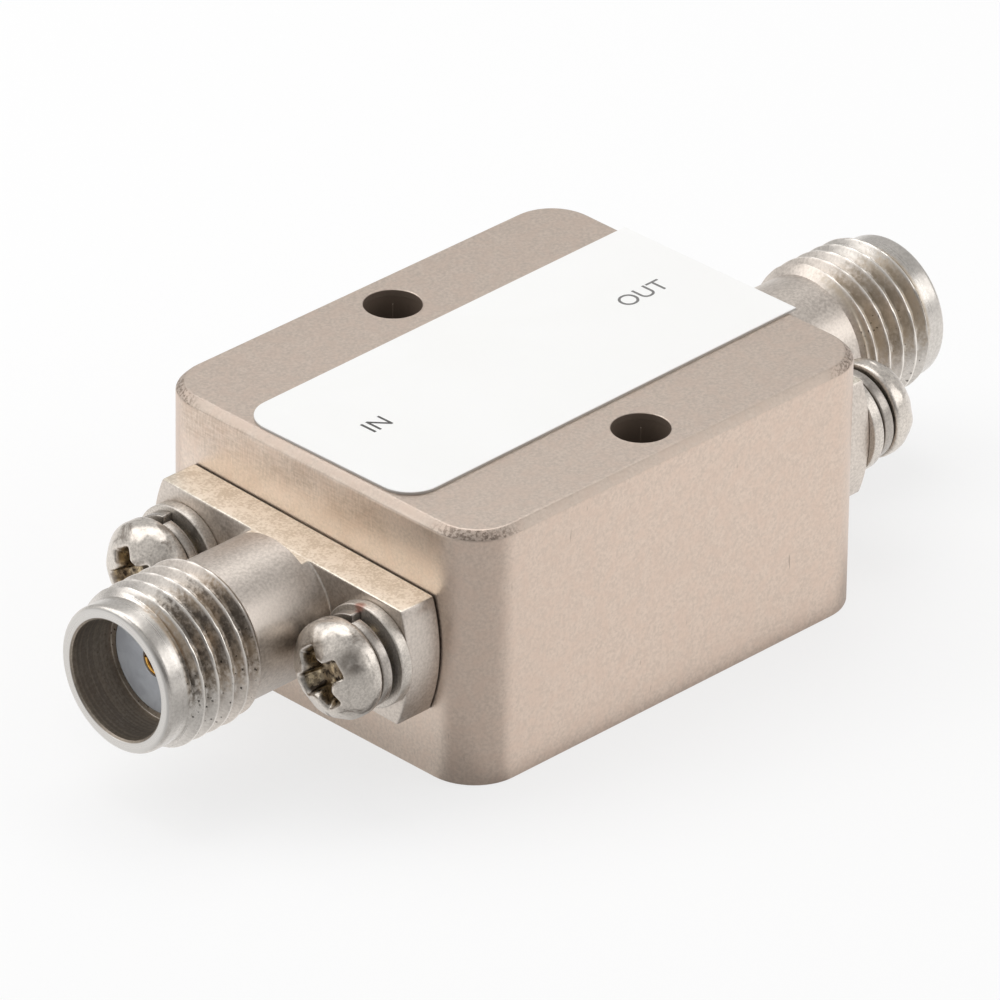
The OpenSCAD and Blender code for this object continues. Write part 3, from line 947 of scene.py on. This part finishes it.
def makeShell(end):
    piece = turnProfile(endNames[end] + "_shell", shellProfile(), shell["segments"])
    rows = threadRows()
    for point in piece.data.vertices:  # the thread is cut ring by ring
        s = point.co.z / mm
        radius = math.hypot(point.co.x, point.co.y) / mm
        if radius > shell["barrelRadius"] - 0.01 and rows[0] < s < rows[-1]:
            angle = math.atan2(point.co.y, point.co.x)
            grow = threadedRadius(s, angle, shell["threadPhase"][end]) / radius
            point.co.x *= grow
            point.co.y *= grow
    turn = end * shell["flangeTurn"][end]
    millRoot(piece, turn)
    cutWith(piece, makeFlange(turn), "UNION")
    bakePlace(piece, endPlace(end))
    smoothPiece(piece, 32)
    seat(piece, steelTurned, "connector_steel", endNames[end] + "_connector_shell")
    return piece


shells = {end: makeShell(end) for end in endNames}
print("shells:", [len(s.data.polygons) for s in shells.values()], "faces")


# flange screws, modelled once with the recess at zero and copied, and their washers

flatWasher = {"segments": 96, "radius": 2.0, "hole": 1.1, "thickness": 0.5, "soft": 0.06}
lockWasher = {
    "steps": 90,
    "radius": 1.8,
    "hole": 1.1,
    "thickness": 0.45,
    "height": 0.83,
    "split": 11,  # degrees
    "soft": 0.06,
}
screw = {
    "segments": 72,
    "headRadius": 1.9,
    "headHeight": 1.6,
    "sideHeight": 0.45,
    "footSoft": 0.12,
    "shankRadius": 1.0,
    "shankLength": 6.0,
    "pointBevel": 0.15,
    "domeSteps": 14,
    "headStart": shell["flangeThickness"] + flatWasher["thickness"] + lockWasher["height"],
    "recessSpan": 2.9,  # level with the head's top
    "recessWidth": 0.84,
    "recessDepth": 0.95,
    "recessProud": 0.1,  # the cutter stands this much over the head
    "recessFoot": 1.5,
    "footShare": 0.75,  # width of a wing's foot over its width at the top
    "coreMouth": 0.86,
    "coreFoot": 0.35,
    "voxel": 0.042,
    "soften": 36,
    "knockSize": 0.55,
    "knockDepth": 0.05,
    "turns": {(-1, 1): 29, (-1, -1): 39, (1, 1): 20, (1, -1): 65},  # by end and side
}


# satin steel of the screws and washers

hardware = {
    "clean": (0.7, 0.645, 0.585, 1),
    "dull": (0.49, 0.45, 0.405, 1),
    "spring": (0.46, 0.42, 0.38, 1),
    "springDull": (0.33, 0.3, 0.27, 1),
    "smudge": (0.2, 0.17, 0.145, 1),
    "smudgeSpot": (-14.25, -6.1, 6.3),
    "smudgeSize": (0.72, 0.15),  # radius where it ends, and where it is full
    "recess": (0.33, 0.265, 0.185, 1),
    "recessShade": (0.06, 0.047, 0.036, 1),
    "recessDepth": (0.12, 0.3),  # under the dome, where its painted shade begins and is full
    "recessReach": (1.55, 1.4),
    # painted highlight: glints in the recess
    "glint": (0.75, 0.62, 0.42, 1),
    "rust": (0.3, 0.09, 0.05, 1),
    "rustSpot": (-12.4, -4.6, 7.25),
    "rustSize": (0.32, 0.1),
    "roughness": (0.28, 0.4),
    "smudgeRoughness": 0.5,
    "grainDepth": 0.002,
    "dents": 6.0,  # how much the dome's dents stand out beside its grain
}


def addRoundScrew(tree, place, rings, grainScale):
    # lathe rings round the screws' axes, and the metal's grain
    side = block["screwSpacing"] / 2
    turned = useGroup(tree, turnGroup, Place=place, AxisY=side, AxisZ=axisHeight / mm, Scale=rings)
    return turned, useGroup(tree, grainGroup, Place=place, Scale=grainScale)


def makeScrewSteel():
    material, tree, sockets, place = startFinish("screwSteel", Metallic=1.0)
    turned, grain = addRoundScrew(tree, place, 6.0, 11.0)
    # how far a point lies under the dome that the head had before its recess was struck
    share = addMath(tree, "DIVIDE", turned["Radius"], screw["headRadius"])
    rest = addMath(tree, "MAXIMUM", addLess(tree, 1.0, addProduct(tree, share, share)), 0.0)
    dome = addProduct(tree, addMath(tree, "SQRT", rest), screw["headHeight"] - screw["sideHeight"])
    top = addSum(tree, dome, screw["headStart"] + screw["sideHeight"])
    along = addLess(tree, addSize(tree, addAxes(tree, place)[0]), blockHigh.x / mm)
    # mask of the recess's painted shade
    struck = addFade(tree, addLess(tree, top, along), *hardware["recessDepth"])
    struck = addProduct(tree, struck, addFade(tree, turned["Radius"], *hardware["recessReach"]))
    colour = addTint(tree, addSpread(tree, grain["Fine"]), hardware["dull"], hardware["clean"])
    smudge = addFade(tree, addNoise(tree, place, 1.0, 4.0, 0.65, 0.6), 0.55, 0.68)
    heavy = addSpot(tree, place, hardware["smudgeSpot"], hardware["smudgeSize"])
    heavy = addProduct(tree, heavy, addFade(tree, grain["Mottle"], 0.3, 0.6, 0.35, 1.0))
    smudge = addMath(tree, "MAXIMUM", smudge, heavy)
    colour = addTint(tree, addProduct(tree, smudge, 0.8), colour, hardware["smudge"])
    # the recess is painted dark, as the shade inside it, with painted bright glints
    recessPatches = addNoise(tree, place, 2.6, 3.0, 0.6)
    inside = addTint(tree, addFade(tree, recessPatches, 0.42, 0.52), hardware["recessShade"], hardware["recess"])
    inside = addTint(tree, addFade(tree, recessPatches, 0.56, 0.64), inside, hardware["glint"])
    tree.links.new(addTint(tree, struck, colour, inside), sockets["Base Color"])
    rough = addSpread(tree, grain["Fine"], *hardware["roughness"])
    tree.links.new(addBlend(tree, smudge, rough, hardware["smudgeRoughness"]), sockets["Roughness"])
    dents = addProduct(tree, grain["Mottle"], hardware["dents"])
    addBump(tree, sockets, addSum(tree, grain["Fine"], dents), hardware["grainDepth"])
    return material


def makeWasherSteel(name, dull, clean, roughness, depth):
    material, tree, sockets, place = startFinish(name, Metallic=0.85)
    turned, grain = addRoundScrew(tree, place, 7.0, 12.0)
    colour = addTint(tree, addSpread(tree, grain["Fine"]), dull, clean)
    smudge = addFade(tree, addNoise(tree, place, 1.4, 4.0, 0.65, 0.5), 0.58, 0.72, 0.0, 0.5)
    colour = addTint(tree, smudge, colour, hardware["smudge"])
    rust = addSpot(tree, place, hardware["rustSpot"], hardware["rustSize"], 0.7)
    tree.links.new(addTint(tree, rust, colour, hardware["rust"]), sockets["Base Color"])
    tree.links.new(addSpread(tree, turned["Rings"], *roughness), sockets["Roughness"])
    addBump(tree, sockets, addSum(tree, grain["Fine"], turned["Rings"]), depth)
    return material


screwSteel = makeScrewSteel()
flatSteel = makeWasherSteel("washerFlat", hardware["dull"], hardware["clean"], (0.34, 0.46), 0.003)
springSteel = makeWasherSteel("washerSpring", hardware["springDull"], hardware["spring"], (0.26, 0.38), 0.002)


def makeRecessCutter():
    # two tapered wings, crossed, and a cone in their middle
    wings = []
    top, depth = screw["headHeight"], screw["recessDepth"]
    tall = depth + screw["recessProud"]
    middle = (0, 0, top - depth + tall / 2)
    for turn in (0, 90):
        wing = startBox("wing", (screw["recessSpan"], screw["recessWidth"], tall), middle)
        pickFaces(wing, lambda centre, normal: normal.z < -0.9)
        narrow = (screw["recessFoot"] / screw["recessSpan"], screw["footShare"], 1)
        bpy.ops.transform.resize(value=narrow, center_override=(0, 0, (top - depth) * mm))
        leaveEdit()
        bakePlace(wing, Matrix.Rotation(math.radians(turn), 4, "Z"))
        wings.append(wing)
    cutWith(wings[0], wings[1], "UNION")
    clearSelection()
    bpy.ops.mesh.primitive_cone_add(
        vertices=40, radius1=screw["coreFoot"] * mm, radius2=screw["coreMouth"] * mm, depth=tall * mm,
        location=[v * mm for v in middle],
    )
    cutWith(wings[0], nameActive("core"), "UNION")
    return wings[0]


def makeScrewMaster():
    radius, high, side = screw["headRadius"], screw["headHeight"], screw["sideHeight"]
    soft, shank = screw["footSoft"], screw["shankRadius"]
    tip, taper = -screw["shankLength"], screw["pointBevel"]
    profile = [(axisGap, tip), (shank - taper, tip), (shank, tip + taper), (shank, 0)]
    profile += arcPoints(radius - soft, soft, soft, 270, 360, 4)
    for i in range(screw["domeSteps"]):
        lean = math.radians(90 * i / screw["domeSteps"])
        profile.append((radius * math.cos(lean), side + (high - side) * math.sin(lean)))
    profile.append((axisGap, high))
    piece = turnProfile("screw_master", profile, screw["segments"])
    cutWith(piece, makeRecessCutter())
    applyModifier(piece, "REMESH", mode="VOXEL", voxel_size=screw["voxel"] * mm)
    applyModifier(piece, "SMOOTH", factor=0.5, iterations=screw["soften"])
    for point in piece.data.vertices:  # knocks and bruises on the dome
        if point.co.z > screw["sideHeight"] * mm:
            knock = noise.noise(point.co / (screw["knockSize"] * mm))
            point.co += point.normal * knock * screw["knockDepth"] * mm
    workOn(piece)
    bpy.ops.object.shade_smooth()
    return piece


def sideName(side):
    return "left" if side > 0 else "right"  # as seen from the IN end


def makeScrews():
    master = makeScrewMaster()
    made = []
    for (end, side), turn in screw["turns"].items():
        piece = copyPiece(master, f"{endNames[end]}_screw_{sideName(side)}")
        lift = Matrix.Translation((0, 0, screw["headStart"] * mm))
        bakePlace(piece, sidePlace(end, side) @ lift @ Matrix.Rotation(math.radians(turn), 4, "Z"))
        seat(piece, screwSteel, "screw_steel", endNames[end] + "_flange_screws")
        made.append(piece)
    bpy.data.objects.remove(master)
    return made


screws = makeScrews()
print("screws:", len(screws), "of", len(screws[0].data.polygons), "faces")


# washers: a flat one on the flange and a split one under the head

def makeFlatWasherMaster():
    radius, hole = flatWasher["radius"], flatWasher["hole"]
    thick, soft = flatWasher["thickness"], flatWasher["soft"]
    profile = arcPoints(radius - soft, soft, soft, 270, 360, 4)
    profile += arcPoints(radius - soft, thick - soft, soft, 0, 90, 4)
    profile += arcPoints(hole + soft, thick - soft, soft, 90, 180, 3)
    profile += arcPoints(hole + soft, soft, soft, 180, 270, 3)
    piece = turnProfile("flat_washer_master", profile, flatWasher["segments"])
    smoothPiece(piece, 35)
    return piece


def makeLockWasherMaster():
    # one square section, swept round most of a turn while it rises
    clearSelection()
    bpy.ops.mesh.primitive_plane_add(size=1, location=(0, 0, 0))
    piece = nameActive("lock_washer_master")
    wide, thick = lockWasher["radius"] - lockWasher["hole"], lockWasher["thickness"]
    piece.scale = (wide * mm, thick * mm, 1)
    piece.rotation_euler = (math.radians(90), 0, 0)
    piece.location = ((lockWasher["hole"] + wide / 2) * mm, 0, thick / 2 * mm)
    bpy.ops.object.transform_apply(location=True, rotation=True, scale=True)
    bpy.ops.object.mode_set(mode="EDIT")
    bpy.ops.mesh.select_all(action="SELECT")
    bpy.ops.mesh.delete(type="ONLY_FACE")
    leaveEdit()
    turn = 360 - lockWasher["split"]
    applyModifier(
        piece, "SCREW", angle=math.radians(turn), screw_offset=(lockWasher["height"] - thick) * mm, axis="Z",
        steps=lockWasher["steps"], render_steps=lockWasher["steps"], use_normal_calculate=True,
    )
    openForEdit(piece, "EDGE")
    bpy.ops.object.mode_set(mode="EDIT")
    bpy.ops.mesh.select_non_manifold()
    bpy.ops.mesh.edge_face_add()
    bpy.ops.mesh.select_all(action="SELECT")
    bpy.ops.mesh.normals_make_consistent(inside=False)
    leaveEdit()
    bakePlace(piece, Matrix.Rotation(math.radians(lockWasher["split"] / 2), 4, "Z"))
    softenEdges(piece, lockWasher["soft"], 3, 50)
    smoothPiece(piece, 35)
    return piece


def makeWashers(master, finish, start, kind):
    made = []
    for end, side in screw["turns"]:
        piece = copyPiece(master, f"{endNames[end]}_{kind}_{sideName(side)}")
        bakePlace(piece, sidePlace(end, side) @ Matrix.Translation((0, 0, start * mm)))
        seat(piece, finish, "washer_steel", f"{endNames[end]}_{kind}s")
        made.append(piece)
    bpy.data.objects.remove(master)
    return made


flatStart = shell["flangeThickness"]
lockStart = flatStart + flatWasher["thickness"]
washers = makeWashers(makeFlatWasherMaster(), flatSteel, flatStart, "flat_washer")
washers += makeWashers(makeLockWasherMaster(), springSteel, lockStart, "lock_washer")
print("washers:", len(washers))


# gilt contacts with four spring fingers

contact = {
    "segments": 64,
    "radius": 0.635,
    "hole": 0.47,
    "holeDepth": 2.6,
    "drillPoint": 0.2,
    "mouthSoft": 0.07,
    "slotWidth": 0.12,
    "slotLength": 2.2,
    "pinRadius": 0.25,
    "pinBack": 3.8,
    "step": 1.2,
    "front": 7.74,
}
gilt = {
    "bright": (0.82, 0.46, 0.11, 1),
    "deep": (0.45, 0.21, 0.04, 1),
    "rings": 12.0,
    "grain": 14.0,
    "roughness": (0.16, 0.28),
    "grainDepth": 0.002,
}


def makeGilt():
    material, tree, sockets, place = startFinish("giltContact", Metallic=1.0)
    turned = useGroup(tree, turnGroup, Place=place, AxisZ=axisHeight / mm, Scale=gilt["rings"])
    grain = useGroup(tree, grainGroup, Place=place, Scale=gilt["grain"])
    colour = addTint(tree, addFade(tree, grain["Mottle"], 0.4, 0.75), gilt["bright"], gilt["deep"])
    tree.links.new(colour, sockets["Base Color"])
    tree.links.new(addSpread(tree, turned["Rings"], *gilt["roughness"]), sockets["Roughness"])
    addBump(tree, sockets, turned["Rings"], gilt["grainDepth"])
    return material


giltContact = makeGilt()


def makeContact(end):
    radius, hole, front, soft = (contact[k] for k in ("radius", "hole", "front", "mouthSoft"))
    pin, back, step = contact["pinRadius"], contact["pinBack"], contact["step"]
    holeEnd = front - contact["holeDepth"]
    profile = [(axisGap, -back), (pin, -back), (pin, step), (radius, step)]
    profile += arcPoints(radius - soft, front - soft, soft, 0, 90, 4)
    profile += arcPoints(hole + soft, front - soft, soft, 90, 180, 4)
    profile += [(hole, holeEnd), (axisGap, holeEnd - contact["drillPoint"])]
    piece = turnProfile(endNames[end] + "_contact", profile, contact["segments"])
    for turn in (0, 90):
        long = contact["slotLength"]
        slot = startBox("slot", (3 * radius, contact["slotWidth"], long + 1), (0, 0, front - long / 2 + 0.5))
        bakePlace(slot, Matrix.Rotation(math.radians(turn), 4, "Z"))
        cutWith(piece, slot)
    bakePlace(piece, endPlace(end))
    smoothPiece(piece, 40)
    seat(piece, giltContact, "contact_gold", endNames[end] + "_center_contact")
    return piece


contacts = [makeContact(end) for end in endNames]
print("contacts:", len(contacts))


# insulators and the pieces inside the block keep their solid form and get a finish

insulator = {
    "white": (0.66, 0.69, 0.735, 1),
    "grey": (0.54, 0.565, 0.61, 1),
    "speck": (0.2, 0.18, 0.16, 1),
    "rings": 5.0,
    "grain": 8.0,
    "roughness": (0.38, 0.52),
    "ringDepth": 0.004,
}
ceramic = {
    "alumina": (0.86, 0.85, 0.8, 1),
    "shade": (0.78, 0.77, 0.72, 1),
    "chip": (0.3, 0.29, 0.27, 1),
    "chipShade": (0.24, 0.23, 0.21, 1),
    "resistor": (0.03, 0.028, 0.026, 1),
    "filmLevel": 5.025,  # height of the metal film's underside
    "lineHalf": 0.2,
    "resistorHalf": 0.5,
    "grain": 12.0,
    "roughness": (0.4, 0.6),
    "grainDepth": 0.002,
}


def makeInsulator():
    material, tree, sockets, place = startFinish("insulatorWhite")
    turned = useGroup(tree, turnGroup, Place=place, AxisZ=axisHeight / mm, Scale=insulator["rings"])
    grain = useGroup(tree, grainGroup, Place=place, Scale=insulator["grain"])
    colour = addTint(tree, addSpread(tree, grain["Mottle"]), insulator["grey"], insulator["white"])
    specks = useGroup(tree, speckGroup, Place=place, Scale=2.2, Share=0.2, Size=0.14)["Mask"]
    colour = addTint(tree, addProduct(tree, specks, 0.6), colour, insulator["speck"])
    tree.links.new(colour, sockets["Base Color"])
    tree.links.new(addSpread(tree, turned["Rings"], *insulator["roughness"]), sockets["Roughness"])
    addBump(tree, sockets, turned["Rings"], insulator["ringDepth"])
    return material


def makeCeramic(name, body, shade, filmHalf, filmColour):
    # a fired board with a strip of film along the middle of its top
    material, tree, sockets, place = startFinish(name)
    x, y, z = addAxes(tree, place)
    grain = useGroup(tree, grainGroup, Place=place, Scale=ceramic["grain"])
    colour = addTint(tree, addSpread(tree, grain["Fine"]), shade, body)
    raised = addFade(tree, z, ceramic["filmLevel"] - 0.01, ceramic["filmLevel"])
    line = addFade(tree, addSize(tree, y), ceramic["lineHalf"] + 0.01, ceramic["lineHalf"])
    line = addProduct(tree, raised, line)
    resistor = addProduct(tree, raised, addFade(tree, addSize(tree, x), filmHalf + 0.01, filmHalf))
    colour = addTint(tree, line, colour, gilt["bright"])
    colour = addTint(tree, resistor, colour, filmColour)
    tree.links.new(colour, sockets["Base Color"])
    tree.links.new(addProduct(tree, line, addLess(tree, 1.0, resistor)), sockets["Metallic"])
    tree.links.new(addSpread(tree, grain["Mottle"], *ceramic["roughness"]), sockets["Roughness"])
    addBump(tree, sockets, grain["Fine"], ceramic["grainDepth"])
    return material


insulatorWhite = makeInsulator()
boardCeramic = makeCeramic("boardCeramic", ceramic["alumina"], ceramic["shade"], 0.0, gilt["bright"])
chipCeramic = makeCeramic(
    "chipCeramic", ceramic["chip"], ceramic["chipShade"], ceramic["resistorHalf"], ceramic["resistor"]
)
solidFinishes = {
    "lid": nickelSatin,
    "in_dielectric": insulatorWhite,
    "out_dielectric": insulatorWhite,
    "in_line_board": boardCeramic,
    "out_line_board": boardCeramic,
    "attenuator_chip": chipCeramic,
    "in_bond_ribbon": giltContact,
    "out_bond_ribbon": giltContact,
}
for nodeName, finish in solidFinishes.items():
    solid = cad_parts[nodeName]
    solid.data.materials.clear()
    solid.data.materials.append(finish)
print("solids with a finish:", len(solidFinishes), "of", len(bpy.data.materials), "finishes")


# studio: pale floor, soft lamps, white surroundings; the floor's sizes are in metres

studio = {
    "floorSize": 4.0,
    "floorColour": (0.92, 0.92, 0.92, 1),
    "floorWhite": 0.72,
    "worldLight": 0.69,
    "openSide": (-0.71, -0.70, 0.0),  # the studio is open and darker on this side
    "openEdge": (0.62, 0.95),
    "openHeight": (0.92, 0.6),
    "openLight": 0.25,
    "wallLight": 0.85,
    "ceilingHeight": (0.6, 0.85),
    "ceilingLight": 0.75,
    "underReach": (0.0005, 0.0045),  # the floor is shaded this close to the block's ends
    "underLight": 0.5,
    "underSide": (0.0075, 0.0095),
    "floorFrom": (-0.009, -0.007, 0.0),
    "floorEdge": (0.25, 0.5),
    "floorDark": 0.5,
    "floorMirrored": 1.3,
    "lamps": {  # place and size in millimetres, power in watts
        "lampAbove": ((20, 60, 180), (160, 120), 0.125),
        "lampLeft": ((-112, 142, 150), (160, 130), 0.12),
        "lampRight": ((132, -148, 106), (150, 110), 0.08),
    },
}


def addReflectionShare(tree, rays):
    # rays that meet the surroundings in metal or glass
    return addMath(tree, "MAXIMUM", rays["Is Glossy Ray"], rays["Is Transmission Ray"])


def addFacing(tree, way):
    # how much a direction faces the open side
    inputs = {0: way, 1: studio["openSide"]}
    return addNode(tree, "ShaderNodeVectorMath", inputs, operation="DOT_PRODUCT").outputs["Value"]


def makeFloor():
    clearSelection()
    bpy.ops.mesh.primitive_plane_add(size=studio["floorSize"], location=(0, 0, blockLow.z))
    floor = nameActive("floor")
    material = bpy.data.materials.new("floorPaper")
    material.use_nodes = True
    tree = material.node_tree
    tree.nodes.clear()
    rays = addNode(tree, "ShaderNodeLightPath").outputs
    mirrored = addReflectionShare(tree, rays)
    seen = addMath(tree, "MAXIMUM", rays["Is Camera Ray"], mirrored)
    place = addNode(tree, "ShaderNodeTexCoord").outputs["Object"]
    away = addNode(tree, "ShaderNodeVectorMath", {0: place, 1: studio["floorFrom"]}, operation="SUBTRACT")
    way = addNode(tree, "ShaderNodeVectorMath", {0: away.outputs[0]}, operation="NORMALIZE")
    dark = addFade(tree, addFacing(tree, way.outputs[0]), *studio["floorEdge"], 1.0, studio["floorDark"])
    axes = addAxes(tree, place)
    reach = addLess(tree, addSize(tree, axes[0]), blockHigh.x)
    beside = addFade(tree, addSize(tree, axes[1]), *studio["underSide"])
    under = addFade(tree, reach, *studio["underReach"], studio["underLight"], 1.0)
    under = addMath(tree, "MAXIMUM", under, beside)
    level = addBlend(tree, mirrored, 1.0, addProduct(tree, dark, under, studio["floorMirrored"]))
    paper = addNode(tree, "ShaderNodeBsdfDiffuse", {"Color": studio["floorColour"]})
    glow = addNode(tree, "ShaderNodeEmission", {"Strength": level})
    share = addProduct(tree, seen, studio["floorWhite"])
    mix = addNode(tree, "ShaderNodeMixShader", {0: share, 1: paper.outputs[0], 2: glow.outputs[0]})
    addNode(tree, "ShaderNodeOutputMaterial", {"Surface": mix.outputs[0]})
    floor.data.materials.append(material)


def makeWorld():
    world = bpy.data.worlds.new("studio")
    bpy.context.scene.world = world
    world.use_nodes = True
    tree = world.node_tree
    tree.nodes.clear()
    rays = addNode(tree, "ShaderNodeLightPath").outputs
    mirrored = addReflectionShare(tree, rays)
    way = addNode(tree, "ShaderNodeTexCoord").outputs["Generated"]
    height = addAxes(tree, way)[2]
    sector = addFade(tree, addFacing(tree, way), *studio["openEdge"])
    dark = addProduct(tree, sector, addFade(tree, height, *studio["openHeight"]))
    walls = addBlend(tree, dark, studio["wallLight"], studio["openLight"])
    ceiling = addFade(tree, height, *studio["ceilingHeight"], 1.0, studio["ceilingLight"])
    walls = addProduct(tree, walls, ceiling)
    unseen = addBlend(tree, mirrored, studio["worldLight"], walls)
    level = addBlend(tree, rays["Is Camera Ray"], unseen, 1.0)
    light = addNode(tree, "ShaderNodeBackground", {"Strength": level})
    addNode(tree, "ShaderNodeOutputWorld", {"Surface": light.outputs[0]})


def makeLamp(name, place, size, power):
    clearSelection()
    bpy.ops.object.light_add(type="AREA", location=[v * mm for v in place])
    lamp = bpy.context.active_object
    lamp.name = name
    lamp.data.shape = "RECTANGLE"
    lamp.data.size, lamp.data.size_y = (v * mm for v in size)
    lamp.data.energy = power
    aim = Vector((0, 0, axisHeight)) - lamp.location
    lamp.rotation_euler = aim.to_track_quat("-Z", "Y").to_euler()


makeFloor()
makeWorld()
for lampName, lampSettings in studio["lamps"].items():
    makeLamp(lampName, *lampSettings)
print("studio ready")
